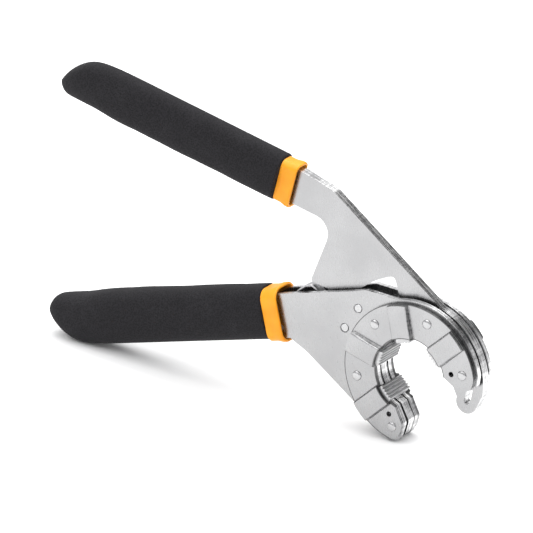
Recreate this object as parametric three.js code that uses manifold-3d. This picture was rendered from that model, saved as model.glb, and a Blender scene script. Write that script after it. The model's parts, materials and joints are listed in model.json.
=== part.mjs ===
// Self-adjusting multi-jaw wrench pliers with an open, C-shaped head.
//
// Until the last lines everything is in the tool's own axes: the centre of the head is the zero,
// X runs to the right, Z up in the plane of the plates and Y through the thickness, front at -Y.
// The lower handle is the fixed side. The upper handle turns about the centre of the head, and
// its cam slots push four jaws inwards along their channels. Millimetres and degrees.

import * as THREE from 'three';
import { mergeVertices } from 'three/addons/utils/BufferGeometryUtils.js';
import Module from 'manifold-3d';

const wasm = await Module();
wasm.setup();

// Layers through the thickness.
const HANDLE_PLATE_T = 2.2;
const HANDLE_GAP = 6.2;
const COVER_T = 1.6;
const LAMINATION_T = 2.1;
const ARM_REAR_GAP = 0.4;
const CHANNEL_RISE = 1.8;
const CHANNEL_SHEET = 1.1;

// Head, measured outwards and inwards from the circle of the guide rivets.
const RIVET_CIRCLE_R = 24;
const RIVET_PITCH = 60;
const RIVET_COUNT = 5;
const BORE_INSET = 8.6;
const ARM_BORE_INSET = 8.2;
const COVER_RIM_OUTSET = 5.2;
const PLATE_RIM_OUTSET = 6.4;
const ARM_RIM_OUTSET = 6;
const HANDLE_RIVET_OUTSET = 9;
const NOTCH_OUTSET = 14.7;

// Motion: the handles close by SQUEEZE while each jaw slides in by JAW_TRAVEL.
const SQUEEZE = 24;
const JAW_TRAVEL = 5.6;

// Jaws and their channels.
const JAW_COUNT = 4;
const JAW_WIDTH = 6.6;
const JAW_THICKNESS = 14.9;
const JAW_PROUD = 2.2;
const JAW_PIN_R = 1;
const JAW_END_WALL = 0.3;
const TOOTH_COUNT = 5;
const TOOTH_DEPTH = 0.6;
const CHANNEL_WALL = 0.65;
const CHANNEL_DRAFT = 0.55;
const CHANNEL_CORNER_R = 0.6;
const CHANNEL_END_INSET = 0.5;

// Rivets.
const SHOULDER_R = 1.3;
const RIVET_NECK_R = 0.9;
const RIVET_HEAD_R = 1.45;
const RIVET_HEAD_H = 0.8;
const HANDLE_RIVET_ANGLES = [126, 145];
const HANDLE_RIVET_R = 2;
const HANDLE_RIVET_NECK_R = 1.2;
const HANDLE_RIVET_PROUD = 0.1;
const HANDLE_BUSH_R = 2.3;
const TANG_RIVET_R = 1.5;
const PILOT_HOLE_R = 1.1;

// Tips of the open rings, in degrees past their end rivets.
const UPPER_TIP_LENGTH = 13.5;
const LOWER_TIP_LENGTH = 8.4;
const RIM_BEYOND = 1.5;
const UPPER_TIP_BEYOND = 2.5;
const LOWER_TIP_SHORT = 6;
const TIP_RIM_INSET = 1.4;
const TIP_MIDDLE_INSET = 2.6;
const TIP_OUTER_CORNER_R = 3.4;
const TIP_MIDDLE_CORNER_R = 2.2;

// Arm. Its upper edge stands square to the direction of ARM_EDGE_ANGLE, just inside its rim.
const ARM_EDGE_ANGLE = 40.1;
const ARM_EDGE_INSET = 1.4;
const ARM_EDGE_LENGTH = 71.5;
const ARM_TIP_R = 4.6;
const ARM_TIP_BEYOND = 7.5;
const NOTCH_WALL_ANGLE = 93.9;
const NOTCH_CORNER_R = 2;

// Collars and grips. The tang is a handle's narrow end inside its grip.
const COLLAR_LENGTH = 7.5;
const COLLAR_POCKET = 4.5;
const COLLAR_WALL = 1.7;
const COLLAR_LIP = 0.5;
const GRIP_LENGTH = 101.5;
const TANG_LENGTH = 80;
const COLLAR_POWER = 4;
const GRIP_POWER = 2.5;

// Return spring: a hairpin of flat strip with its eye on a pin between the handle plates.
const SPRING_T = 0.8;
const SPRING_WIDTH = 4.6;
const SPRING_PIN_R = 1.5;
const SPRING_BOW_GAP = 3.2;

// Clearances.
const RUNNING = 0.1;
const HOLE_EASE = 0.06;
const SLIDE = 0.15;
const FORK_EASE = 0.05;
const SEAT = 0.3;

// Facets.
const ARC_STEP = 6;
const PIN_FACES = 16;
const HOLE_FACES = 16;
const SECTION_FACES = 28;

// Heights through the thickness, from the mid-plane.
const plateInner = HANDLE_GAP / 2;
const plateOuter = plateInner + HANDLE_PLATE_T;
const coverOuter = plateOuter + COVER_T;
const channelOuter = coverOuter + CHANNEL_RISE;
const channelInner = channelOuter - CHANNEL_SHEET;
const armRear = plateInner - ARM_REAR_GAP;
const armMiddle = armRear - LAMINATION_T;
const armFront = armMiddle - LAMINATION_T;

// Radii of the head.
const boreR = RIVET_CIRCLE_R - BORE_INSET;
const armBoreR = RIVET_CIRCLE_R - ARM_BORE_INSET;
const coverRimR = RIVET_CIRCLE_R + COVER_RIM_OUTSET;
const plateRimR = RIVET_CIRCLE_R + PLATE_RIM_OUTSET;
const armRimR = RIVET_CIRCLE_R + ARM_RIM_OUTSET;
const handleRivetCircleR = RIVET_CIRCLE_R + HANDLE_RIVET_OUTSET;
const notchR = RIVET_CIRCLE_R + NOTCH_OUTSET;
const pinOpenR = RIVET_CIRCLE_R + JAW_TRAVEL / 2;
const jawFaceR = boreR - JAW_PROUD;
const jawEndR = pinOpenR + JAW_PIN_R + JAW_END_WALL;
const armEdgeR = armRimR - ARM_EDGE_INSET;
const channelHalf = JAW_WIDTH / 2 + SLIDE;
const channelTopHalf = channelHalf + CHANNEL_WALL;
const channelBaseHalf = channelTopHalf + CHANNEL_DRAFT;
const forkRoot = Math.sqrt(armBoreR ** 2 - (JAW_WIDTH / 2) ** 2) - FORK_EASE;

// The two handles: direction of the grip, its distance from the head centre, where the collar
// starts, the plates' edges at the collar, half of the tang, the heights of the plates' outer
// faces, half of the grip's height, and the foam over the plates' faces.
const UPPER = handle({
  heading: 154.1,
  offset: 49.5,
  collarAt: 70,
  shoulder: [-7.5, 7.1],
  tangHalf: 5.5,
  faces: [armFront, armRear],
  gripHalf: 9.8,
  foamOverFaces: 4.4,
  outer: 1,
});
const LOWER = handle({
  heading: 181.5,
  offset: 25.8,
  collarAt: 54.5,
  shoulder: [-9.6, 8.4],
  tangHalf: 6,
  faces: [-plateOuter, plateOuter],
  gripHalf: 10.9,
  foamOverFaces: 3.2,
  outer: -1,
});

const rivetAngles = Array.from({ length: RIVET_COUNT }, (_, i) => i * RIVET_PITCH);
const jawAngles = Array.from({ length: JAW_COUNT }, (_, i) => (i + 0.5) * RIVET_PITCH);
const lowerTipAngle = rivetAngles.at(-1);

// Places in the plane of the plates.
const pilotPlaces = [polar(RIVET_CIRCLE_R - 4.8, 1.5), polar(RIVET_CIRCLE_R - 4.1, 231.7)];
const springPinPlace = LOWER.at(LOWER.collarAt + 1.8, -5.4);
const heel = UPPER.at(53.6, -34.6);

const steel = { color: 0xc9cbcc, metalness: 1, roughness: 0.28 };
const darkSteel = { color: 0x8b8d8f, metalness: 1, roughness: 0.4 };
const springSteel = { color: 0x9a9c9e, metalness: 1, roughness: 0.35 };
const foam = { color: 0x2c2a2c, metalness: 0, roughness: 0.95 };
const orange = { color: 0xf0a22c, metalness: 0, roughness: 0.5 };

// --- Plane geometry ---------------------------------------------------------------------------

function polar(radius, degrees) {
  const angle = THREE.MathUtils.degToRad(degrees);
  return new THREE.Vector2(radius * Math.cos(angle), radius * Math.sin(angle));
}

// Points of an arc about a centre, both ends included.
function arc(centre, radius, from, to) {
  const steps = Math.max(1, Math.ceil(Math.abs(to - from) / ARC_STEP));
  return Array.from({ length: steps + 1 }, (_, i) => {
    return polar(radius, from + (to - from) * (i / steps)).add(centre);
  });
}

const ORIGIN = new THREE.Vector2();

function circle(centre, radius, faces = HOLE_FACES) {
  const points = Array.from({ length: faces }, (_, i) => polar(radius, (i * 360) / faces).add(centre));
  return new THREE.Shape(points);
}

// A corner to be rounded by the given radius.
function corner(point, radius) {
  return { point, radius };
}

// Outline through plain points and corners, each corner replaced by its fillet.
function outline(items) {
  const at = (i) => {
    const item = items[(i + items.length) % items.length];
    return item.point ?? item;
  };
  const points = items.flatMap((item, i) => {
    if (!item.point) return [item];
    const back = at(i - 1).clone().sub(item.point).normalize();
    const ahead = at(i + 1).clone().sub(item.point).normalize();
    const half = back.angleTo(ahead) / 2;
    const reach = item.radius / Math.tan(half);
    const start = item.point.clone().addScaledVector(back, reach);
    const end = item.point.clone().addScaledVector(ahead, reach);
    const middle = back.clone().add(ahead).normalize();
    const centre = item.point.clone().addScaledVector(middle, item.radius / Math.sin(half));
    const first = THREE.MathUtils.radToDeg(start.clone().sub(centre).angle());
    const last = THREE.MathUtils.radToDeg(end.clone().sub(centre).angle());
    const sweep = THREE.MathUtils.euclideanModulo(last - first + 180, 360) - 180;
    const steps = Math.max(2, Math.ceil(Math.abs(sweep) / 18));
    return Array.from({ length: steps + 1 }, (_, k) => {
      return polar(item.radius, first + (sweep * k) / steps).add(centre);
    });
  });
  return new THREE.Shape(points);
}

// Outline of a band of even width along a line of points, with round ends.
function band(line, width) {
  const heading = line.map((_, i) => {
    const before = line[Math.max(i - 1, 0)];
    const after = line[Math.min(i + 1, line.length - 1)];
    return THREE.MathUtils.radToDeg(after.clone().sub(before).angle());
  });
  const offset = (i, turn) => polar(width / 2, heading[i] + turn).add(line[i]);
  const cap = (i, from) => [30, 60, 90, 120, 150].map((turn) => offset(i, from + turn));
  const last = line.length - 1;
  const right = line.map((_, i) => offset(i, -90));
  const left = line.map((_, i) => offset(i, 90)).reverse();
  return new THREE.Shape([...right, ...cap(last, -90), ...left, ...cap(0, 90)]);
}

// --- Solids -----------------------------------------------------------------------------------

// Prism of a shape in the plane of the plates, between two heights through the thickness.
function layer(shape, yFrom, yTo) {
  const low = Math.min(yFrom, yTo);
  const high = Math.max(yFrom, yTo);
  const geometry = new THREE.ExtrudeGeometry(shape, { depth: high - low, bevelEnabled: false });
  return geometry.rotateX(Math.PI / 2).translate(0, high, 0);
}

function solid(geometry) {
  const bare = geometry.clone();
  bare.deleteAttribute('normal');
  bare.deleteAttribute('uv');
  const merged = mergeVertices(bare, 1e-4);
  const vertProperties = Float32Array.from(merged.attributes.position.array);
  const triVerts = Uint32Array.from(merged.index.array);
  return new wasm.Manifold(new wasm.Mesh({ numProp: 3, vertProperties, triVerts }));
}

function geometryOf(manifold) {
  const mesh = manifold.getMesh();
  const geometry = new THREE.BufferGeometry();
  geometry.setAttribute('position', new THREE.BufferAttribute(mesh.vertProperties, 3));
  geometry.setIndex(new THREE.BufferAttribute(mesh.triVerts, 1));
  return geometry;
}

// The first list joined, less everything in the second.
function shaped(joined, cuts = []) {
  const body = joined.map(solid).reduce((sum, next) => sum.add(next));
  return geometryOf(cuts.map(solid).reduce((left, cut) => left.subtract(cut), body));
}

// Solid of revolution about the Y axis through a point in the plane of the plates.
function turned(profile, centre) {
  const points = profile.map(([radius, y]) => new THREE.Vector2(radius, y));
  return new THREE.LatheGeometry(points, PIN_FACES).translate(centre.x, 0, centre.y);
}

function pin(radius, yFrom, yTo, centre) {
  return turned([[0, yFrom], [radius, yFrom], [radius, yTo], [0, yTo]], centre);
}

function tube(outerR, innerR, yFrom, yTo, centre) {
  const profile = [[innerR, yFrom], [outerR, yFrom], [outerR, yTo], [innerR, yTo], [innerR, yFrom]];
  return turned(profile, centre);
}

function named(name, geometry, finish) {
  const mesh = new THREE.Mesh(geometry, new THREE.MeshStandardMaterial(finish));
  mesh.name = name;
  return mesh;
}

// --- Handles ----------------------------------------------------------------------------------

// A handle's own axes: s outwards along the grip, t across it in the plane of the plates, and the
// same Y. Zero is the foot of the perpendicular from the head centre. "outer" is the side of t
// that faces away from the other handle.
function handle(sizes) {
  const { heading, offset, faces } = sizes;
  const along = polar(1, heading);
  const across = polar(1, heading - 90);
  const at = (s, t) => along.clone().multiplyScalar(s).addScaledVector(across, offset + t);
  const toTool = new THREE.Matrix4().makeBasis(
    new THREE.Vector3(along.x, 0, along.y),
    new THREE.Vector3(across.x, 0, across.y),
    new THREE.Vector3(0, 1, 0),
  );
  toTool.setPosition(across.x * offset, 0, across.y * offset);
  const middle = (faces[0] + faces[1]) / 2;
  const halfStack = (faces[1] - faces[0]) / 2;
  return { ...sizes, at, toTool, middle, halfStack };
}

// Closed skin through rounded sections along s, each from tLow to tHigh and half wide through Y.
// The power sets how square the sections are.
function loft(stations, side, power) {
  const positions = [];
  const faces = [];
  stations.forEach(({ s, tLow, tHigh, half }) => {
    for (let i = 0; i < SECTION_FACES; i += 1) {
      const unit = polar(1, ((i + 0.5) * 360) / SECTION_FACES);
      const bulge = (Math.abs(unit.x) ** power + Math.abs(unit.y) ** power) ** (-1 / power);
      const t = (tLow + tHigh) / 2 + (unit.x * bulge * (tHigh - tLow)) / 2;
      positions.push(s, t, side.middle + unit.y * bulge * half);
    }
  });
  const next = (i) => (i + 1) % SECTION_FACES;
  for (let row = 0; row < stations.length - 1; row += 1) {
    const base = row * SECTION_FACES;
    for (let i = 0; i < SECTION_FACES; i += 1) {
      const above = base + SECTION_FACES;
      faces.push(base + i, base + next(i), above + next(i), base + i, above + next(i), above + i);
    }
  }
  const top = (stations.length - 1) * SECTION_FACES;
  for (let i = 1; i < SECTION_FACES - 1; i += 1) {
    faces.push(0, i + 1, i, top, top + i, top + i + 1);
  }
  const geometry = new THREE.BufferGeometry();
  geometry.setAttribute('position', new THREE.Float32BufferAttribute(positions, 3));
  geometry.setIndex(faces);
  return geometry.applyMatrix4(side.toTool);
}

// Box in a handle's own axes.
function block(side, [sFrom, sTo], [tFrom, tTo], [yFrom, yTo]) {
  const box = new THREE.BoxGeometry(sTo - sFrom, tTo - tFrom, yTo - yFrom);
  box.translate((sFrom + sTo) / 2, (tFrom + tTo) / 2, (yFrom + yTo) / 2);
  return box.applyMatrix4(side.toTool);
}

// How far a rounded end has drawn in, at a distance short of the end. A power of 2 is a quarter
// round, and a power near 1 is closer to a chamfer.
function drawnIn(distance, reach, depth, power = 2) {
  const share = 1 - Math.min(distance / reach, 1);
  return depth * (1 - (1 - share ** power) ** (1 / power));
}

// Slot along s for a handle's plates, with room all round.
function plateSlot(side, sFrom, sTo, [tLow, tHigh]) {
  const across = [tLow - SEAT, tHigh + SEAT];
  return block(side, [sFrom, sTo], across, [side.faces[0] - SEAT, side.faces[1] + SEAT]);
}

// Foam sleeve over the tang, its end sloped off towards the outer side.
function grip(side) {
  const start = side.collarAt + COLLAR_LENGTH;
  const thick = side.halfStack + side.foamOverFaces;
  const fromEnd = [GRIP_LENGTH, 60, 22, 17, 12, 8, 5, 2.5, 1, 0];
  const stations = fromEnd.map((distance) => {
    const outside = side.gripHalf * (1 - drawnIn(distance, 17, 1.25, 1.3));
    const inside = side.gripHalf * (1 - drawnIn(distance, 6, 0.45));
    const range = side.outer > 0 ? [-inside, outside] : [-outside, inside];
    return {
      s: start + GRIP_LENGTH - distance,
      tLow: range[0],
      tHigh: range[1],
      half: thick * (1 - drawnIn(distance, 11, 0.6)),
    };
  });
  const tang = [-side.tangHalf, side.tangHalf];
  const socket = plateSlot(side, start - 1, start + TANG_LENGTH + SEAT, tang);
  return shaped([loft(stations, side, GRIP_POWER)], [socket]);
}

// Collar between the bare plates and the grip: a close sleeve with a lip, a pocket for the
// plates' shoulders and a slot for the tang.
function collar(side) {
  const start = side.collarAt;
  const [low, high] = side.shoulder;
  const rows = [[0, 0.6], [0.8, 1], [2.5, 1], [4, 0.3], [COLLAR_LENGTH - SEAT, 0]];
  const ring = rows.map(([along, share]) => {
    const wall = COLLAR_WALL + COLLAR_LIP * share;
    return {
      s: start + along,
      tLow: low - wall,
      tHigh: high + wall,
      half: side.halfStack + wall + SEAT,
    };
  });
  const tang = [-side.tangHalf, side.tangHalf];
  const slot = plateSlot(side, start - 1, start + COLLAR_LENGTH + 1, tang);
  const pocket = plateSlot(side, start - 1, start + COLLAR_POCKET + SEAT, side.shoulder);
  return shaped([loft(ring, side, COLLAR_POWER)], [slot, pocket]);
}

// --- Head -------------------------------------------------------------------------------------

// Rounded corners of an open ring's tip past a rivet, from the rim inwards. "way" is +1 for the
// tip past the last rivet and -1 for the tip before the first.
function tipCorners(rim, rivetAngle, way) {
  const length = way > 0 ? LOWER_TIP_LENGTH : UPPER_TIP_LENGTH;
  const outer = polar(rim - TIP_RIM_INSET, rivetAngle + way * length);
  const middle = polar(RIVET_CIRCLE_R - TIP_MIDDLE_INSET, rivetAngle + way * (length + 2));
  return [corner(outer, TIP_OUTER_CORNER_R), corner(middle, TIP_MIDDLE_CORNER_R)];
}

// Open ring from the bore to the rim, with a rounded tip at each side of its mouth.
function openRing(bore, rim) {
  const first = rivetAngles[0];
  return outline([
    ...arc(ORIGIN, rim, first - RIM_BEYOND, lowerTipAngle + RIM_BEYOND),
    ...tipCorners(rim, lowerTipAngle, 1),
    ...arc(ORIGIN, bore, lowerTipAngle - LOWER_TIP_SHORT, first - UPPER_TIP_BEYOND),
    ...tipCorners(rim, first, -1).reverse(),
  ]);
}

// Radial prism at one jaw angle: a section drawn with x along the rim and y outwards from the
// mid-plane, on the front (-1) or rear (+1) side.
function radialPrism(section, rFrom, rTo, angle, side) {
  const geometry = new THREE.ExtrudeGeometry(section, { depth: rTo - rFrom, bevelEnabled: false });
  const basis = new THREE.Matrix4().makeBasis(
    new THREE.Vector3(0, 0, -side),
    new THREE.Vector3(0, side, 0),
    new THREE.Vector3(1, 0, 0),
  );
  geometry.translate(0, 0, rFrom).applyMatrix4(basis);
  return geometry.rotateY(-THREE.MathUtils.degToRad(angle));
}

function rectangle(xFrom, xTo, yFrom, yTo) {
  const corners = [[xFrom, yFrom], [xTo, yFrom], [xTo, yTo], [xFrom, yTo]];
  return new THREE.Shape(corners.map(([x, y]) => new THREE.Vector2(x, y)));
}

// Holes of the guide rivets' necks and the two pilot holes, through one layer.
function headHoles(yFrom, yTo) {
  const necks = rivetAngles.map((angle) => {
    return layer(circle(polar(RIVET_CIRCLE_R, angle), RIVET_NECK_R + HOLE_EASE), yFrom, yTo);
  });
  const pilots = pilotPlaces.map((place) => layer(circle(place, PILOT_HOLE_R), yFrom, yTo));
  return [...necks, ...pilots];
}

// Pressed cover with a raised channel over each jaw, open at the bore and closed at the rim.
function cover(side) {
  const flat = layer(openRing(boreR, coverRimR), side * plateOuter, side * coverOuter);
  const raised = openRing(boreR, coverRimR - CHANNEL_END_INSET);
  const reach = layer(raised, side * plateOuter, side * channelOuter);
  const outside = outline([
    new THREE.Vector2(-channelBaseHalf, plateOuter),
    new THREE.Vector2(channelBaseHalf, plateOuter),
    new THREE.Vector2(channelBaseHalf, coverOuter),
    corner(new THREE.Vector2(channelTopHalf, channelOuter), CHANNEL_CORNER_R),
    corner(new THREE.Vector2(-channelTopHalf, channelOuter), CHANNEL_CORNER_R),
    new THREE.Vector2(-channelBaseHalf, coverOuter),
  ]);
  const inside = rectangle(-channelHalf, channelHalf, plateOuter - 1, channelInner);
  const ridges = jawAngles.map((angle) => {
    return radialPrism(outside, boreR - 4, coverRimR + 2, angle, side);
  });
  const joined = ridges.map(solid).map((ridge) => ridge.intersect(solid(reach))).map(geometryOf);
  const voids = jawAngles.map((angle) => {
    return radialPrism(inside, boreR - 4, jawEndR + SLIDE, angle, side);
  });
  const through = [side * (plateOuter - 1), side * (coverOuter + 1)];
  return shaped([flat, ...joined], [...voids, ...headHoles(...through)]);
}

// Cuts that every handle plate has: the jaws' notches, the rivet holes and the pilot holes.
function plateCuts(yFrom, yTo) {
  const notch = rectangle(-channelHalf, channelHalf, Math.min(yFrom, yTo), Math.max(yFrom, yTo));
  const notches = jawAngles.map((angle) => {
    return radialPrism(notch, boreR - 4, jawEndR + SEAT, angle, 1);
  });
  const rivets = HANDLE_RIVET_ANGLES.map((angle) => {
    return layer(circle(polar(handleRivetCircleR, angle), HANDLE_RIVET_R + HOLE_EASE), yFrom, yTo);
  });
  const tangRivets = tangRivetPlaces(LOWER).map((place) => {
    return layer(circle(place, TANG_RIVET_R + HOLE_EASE), yFrom, yTo);
  });
  const springPin = layer(circle(springPinPlace, SPRING_PIN_R + HOLE_EASE), yFrom, yTo);
  return [...notches, ...rivets, ...tangRivets, springPin, ...headHoles(yFrom, yTo)];
}

function tangRivetPlaces(side) {
  const start = side.collarAt + COLLAR_LENGTH;
  return [0.2, 0.8].map((share) => side.at(start + TANG_LENGTH * share, 0));
}

const tangEnd = (side) => side.collarAt + COLLAR_LENGTH + TANG_LENGTH;
const shoulderAt = (side) => side.collarAt + COLLAR_POCKET;

// Handle plate: open ring with a web that narrows into the tang.
function handlePlate(side) {
  const { at, tangHalf } = LOWER;
  const [low, high] = LOWER.shoulder;
  const shoulder = shoulderAt(LOWER);
  const mouth = LOWER.collarAt - 2;
  const web = outline([
    at(shoulder, high),
    at(mouth, high),
    new THREE.Vector2(-21, 33.7),
    corner(new THREE.Vector2(-14.5, 34.2), 3),
    polar(plateRimR - 0.2, 91),
    polar(RIVET_CIRCLE_R, 91),
    polar(RIVET_CIRCLE_R, 150),
    polar(RIVET_CIRCLE_R, 203),
    polar(plateRimR - 0.2, 203),
    corner(new THREE.Vector2(-46.1, 9), 7),
    at(mouth, low),
    at(shoulder, low),
    at(shoulder, -tangHalf),
    corner(at(tangEnd(LOWER), -tangHalf), 2),
    corner(at(tangEnd(LOWER), tangHalf), 2),
    at(shoulder, tangHalf),
  ]);
  const span = [side * plateInner, side * plateOuter];
  const through = [side * (plateInner - 1), side * (plateOuter + 1)];
  const ring = layer(openRing(boreR, plateRimR), ...span);
  return shaped([ring, layer(web, ...span)], plateCuts(...through));
}

// Lamination of the moving arm: cam ring with its web, leg and tang.
function armLamination(yFrom, yTo) {
  const { at, tangHalf } = UPPER;
  const [low, high] = UPPER.shoulder;
  const shoulder = shoulderAt(UPPER);
  const mouth = UPPER.collarAt - 2;
  const tipAngle = -SQUEEZE - ARM_TIP_BEYOND;
  const ring = outline([
    ...arc(ORIGIN, armRimR, tipAngle + 12.5, lowerTipAngle + RIM_BEYOND),
    ...tipCorners(armRimR, lowerTipAngle, 1),
    ...arc(ORIGIN, armBoreR, lowerTipAngle - LOWER_TIP_SHORT, tipAngle + 15.5),
    ...arc(polar(RIVET_CIRCLE_R, tipAngle), ARM_TIP_R, tipAngle + 180, tipAngle + 360),
  ]);
  const edgeFoot = polar(armEdgeR, ARM_EDGE_ANGLE);
  const bend = polar(ARM_EDGE_LENGTH, ARM_EDGE_ANGLE + 90).add(edgeFoot);
  const web = outline([
    at(shoulder, high),
    at(mouth, high),
    corner(bend, 7),
    edgeFoot,
    polar(RIVET_CIRCLE_R, ARM_EDGE_ANGLE),
    polar(RIVET_CIRCLE_R, 70),
    polar(RIVET_CIRCLE_R, NOTCH_WALL_ANGLE + 1),
    polar(armRimR, 118),
    new THREE.Vector2(-20, 33.4),
    corner(new THREE.Vector2(-33.6, 33.4), 4),
    corner(heel, 1.2),
    corner(at(50.2, low), 7),
    at(mouth, low),
    at(shoulder, low),
    at(shoulder, -tangHalf),
    corner(at(tangEnd(UPPER), -tangHalf), 2),
    corner(at(tangEnd(UPPER), tangHalf), 2),
    at(shoulder, tangHalf),
  ]);
  const notch = outline([
    ...arc(ORIGIN, armRimR, 165, NOTCH_WALL_ANGLE),
    corner(polar(notchR, NOTCH_WALL_ANGLE), NOTCH_CORNER_R),
    ...arc(ORIGIN, notchR, NOTCH_WALL_ANGLE + 6, 165),
  ]);
  const through = [yFrom - 1, yTo + 1];
  const rivetSlots = rivetAngles.map((angle) => {
    const past = angle === rivetAngles[0] ? 6 : 1.5;
    return band(arc(ORIGIN, RIVET_CIRCLE_R, angle + 1, angle - SQUEEZE - past),
      2 * (SHOULDER_R + RUNNING));
  });
  const camSlots = jawAngles.map((angle) => band(camLine(angle), 2 * (JAW_PIN_R + RUNNING)));
  const tangHoles = tangRivetPlaces(UPPER).map((place) => circle(place, TANG_RIVET_R + HOLE_EASE));
  const cuts = [notch, ...rivetSlots, ...camSlots, ...tangHoles];
  return shaped(
    [layer(ring, yFrom, yTo), layer(web, yFrom, yTo)],
    cuts.map((shape) => layer(shape, ...through)),
  );
}

// Centre line of a jaw's cam slot in the arm: the radius falls evenly as the arm turns.
function camLine(angle) {
  const steps = 8;
  const slack = 1;
  return Array.from({ length: steps + 1 }, (_, i) => {
    const turn = -slack + ((SQUEEZE + 2 * slack) * i) / steps;
    return polar(pinOpenR - (JAW_TRAVEL * turn) / SQUEEZE, angle - turn);
  });
}

// Jaw on the X axis: a toothed head and a fork that straddles the arm, carrying the cam pin.
function jaw(angle) {
  const half = JAW_WIDTH / 2;
  const pitch = JAW_WIDTH / TOOTH_COUNT;
  const teeth = Array.from({ length: TOOTH_COUNT }, (_, i) => {
    const start = -half + i * pitch;
    return [
      new THREE.Vector2(jawFaceR + TOOTH_DEPTH, start + 0.06 * pitch),
      new THREE.Vector2(jawFaceR, start + 0.36 * pitch),
      new THREE.Vector2(jawFaceR, start + 0.64 * pitch),
      new THREE.Vector2(jawFaceR + TOOTH_DEPTH, start + 0.94 * pitch),
    ];
  }).flat();
  const body = outline([
    corner(new THREE.Vector2(jawEndR, half), 0.5),
    corner(new THREE.Vector2(jawFaceR + TOOTH_DEPTH / 2, half), 0.2),
    ...teeth.reverse(),
    corner(new THREE.Vector2(jawFaceR + TOOTH_DEPTH / 2, -half), 0.2),
    corner(new THREE.Vector2(jawEndR, -half), 0.5),
  ]);
  const fork = rectangle(forkRoot, jawEndR + 1, -half - 1, half + 1);
  const hole = circle(new THREE.Vector2(pinOpenR, 0), JAW_PIN_R + HOLE_EASE);
  const blank = layer(body, -JAW_THICKNESS / 2, JAW_THICKNESS / 2);
  const cuts = [
    layer(fork, armFront - SLIDE, armRear + SLIDE),
    layer(hole, -JAW_THICKNESS, JAW_THICKNESS),
  ];
  return shaped([blank], cuts).rotateY(-THREE.MathUtils.degToRad(angle));
}

// --- Rivets and spring ------------------------------------------------------------------------

function guideRivet(angle) {
  const head = [
    [0, coverOuter + RIVET_HEAD_H],
    [0.6 * RIVET_HEAD_R, coverOuter + 0.82 * RIVET_HEAD_H],
    [RIVET_HEAD_R, coverOuter + 0.3 * RIVET_HEAD_H],
    [RIVET_HEAD_R, coverOuter],
    [RIVET_NECK_R, coverOuter],
    [RIVET_NECK_R, plateInner],
    [SHOULDER_R, plateInner],
  ];
  const front = head.map(([radius, y]) => [radius, -y]);
  return turned([...front, ...head.reverse()], polar(RIVET_CIRCLE_R, angle));
}

function handleRivet(centre) {
  const end = plateOuter + HANDLE_RIVET_PROUD;
  const rear = [
    [0, end],
    [HANDLE_RIVET_R, end],
    [HANDLE_RIVET_R, plateInner],
    [HANDLE_RIVET_NECK_R, plateInner],
  ];
  const front = rear.map(([radius, y]) => [radius, -y]);
  return turned([...front, ...rear.reverse()], centre);
}

// The spring's eye wraps the pin, the lower leg follows the plates' edge, the bow turns near the
// ring and the upper leg bears on the arm's heel.
function returnSpring() {
  const eyeR = SPRING_PIN_R + RUNNING + SPRING_T / 2;
  const eye = arc(springPinPlace, eyeR, 60, 262);
  const bowX = -(armRimR + SPRING_BOW_GAP);
  const legs = new THREE.SplineCurve([
    eye.at(-1),
    new THREE.Vector2(-52.5, 15.2),
    new THREE.Vector2(-45, 12.2),
    new THREE.Vector2(bowX - 4.2, 8.6),
    new THREE.Vector2(bowX, 11.2),
    new THREE.Vector2(bowX - 0.3, 19),
    new THREE.Vector2(bowX - 3.6, 29),
    new THREE.Vector2(heel.x + 1.2, heel.y - 2.2),
    new THREE.Vector2(heel.x - 2.6, heel.y - 2),
    new THREE.Vector2(heel.x - 8, heel.y - 5.2),
  ]);
  const line = [...eye, ...legs.getSpacedPoints(34).slice(1)];
  return layer(band(line, SPRING_T), -SPRING_WIDTH / 2, SPRING_WIDTH / 2);
}

// --- Assembly ---------------------------------------------------------------------------------

const tool = new THREE.Group();
const add = (name, geometry, finish) => tool.add(named(name, geometry, finish));

add('front_cover', cover(-1), steel);
add('rear_cover', cover(1), steel);
add('front_handle_plate', handlePlate(-1), steel);
add('rear_handle_plate', handlePlate(1), steel);
rivetAngles.forEach((angle, i) => add(`guide_rivet_${i + 1}`, guideRivet(angle), steel));
HANDLE_RIVET_ANGLES.forEach((angle, i) => {
  const centre = polar(handleRivetCircleR, angle);
  const bush = tube(HANDLE_BUSH_R, HANDLE_RIVET_NECK_R + HOLE_EASE, -plateInner, plateInner, centre);
  add(`handle_rivet_${i + 1}`, handleRivet(centre), steel);
  add(`handle_bush_${i + 1}`, bush, darkSteel);
});

const spacerSpan = [shoulderAt(LOWER) + 2, tangEnd(LOWER) - 1];
const spacerHalf = LOWER.tangHalf - 0.4;
const spacer = block(LOWER, spacerSpan, [-spacerHalf, spacerHalf], [-plateInner, plateInner]);
const spacerHoles = tangRivetPlaces(LOWER).map((place) => {
  return layer(circle(place, TANG_RIVET_R + HOLE_EASE), -plateOuter, plateOuter);
});
add('tang_spacer', shaped([spacer], spacerHoles), darkSteel);
tangRivetPlaces(LOWER).forEach((place, i) => {
  add(`tang_rivet_${i + 1}`, pin(TANG_RIVET_R, -plateOuter, plateOuter, place), darkSteel);
});
add('spring_pin', pin(SPRING_PIN_R, -plateOuter, plateOuter, springPinPlace), darkSteel);
add('return_spring', returnSpring(), springSteel);
add('lower_collar', collar(LOWER), orange);
add('lower_grip', grip(LOWER), foam);

add('arm_plate_front', armLamination(armFront, armMiddle), steel);
add('arm_plate_rear', armLamination(armMiddle, armRear), steel);
tangRivetPlaces(UPPER).forEach((place, i) => {
  add(`arm_rivet_${i + 1}`, pin(TANG_RIVET_R, armFront, armRear, place), darkSteel);
});
add('upper_collar', collar(UPPER), orange);
add('upper_grip', grip(UPPER), foam);

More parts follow.
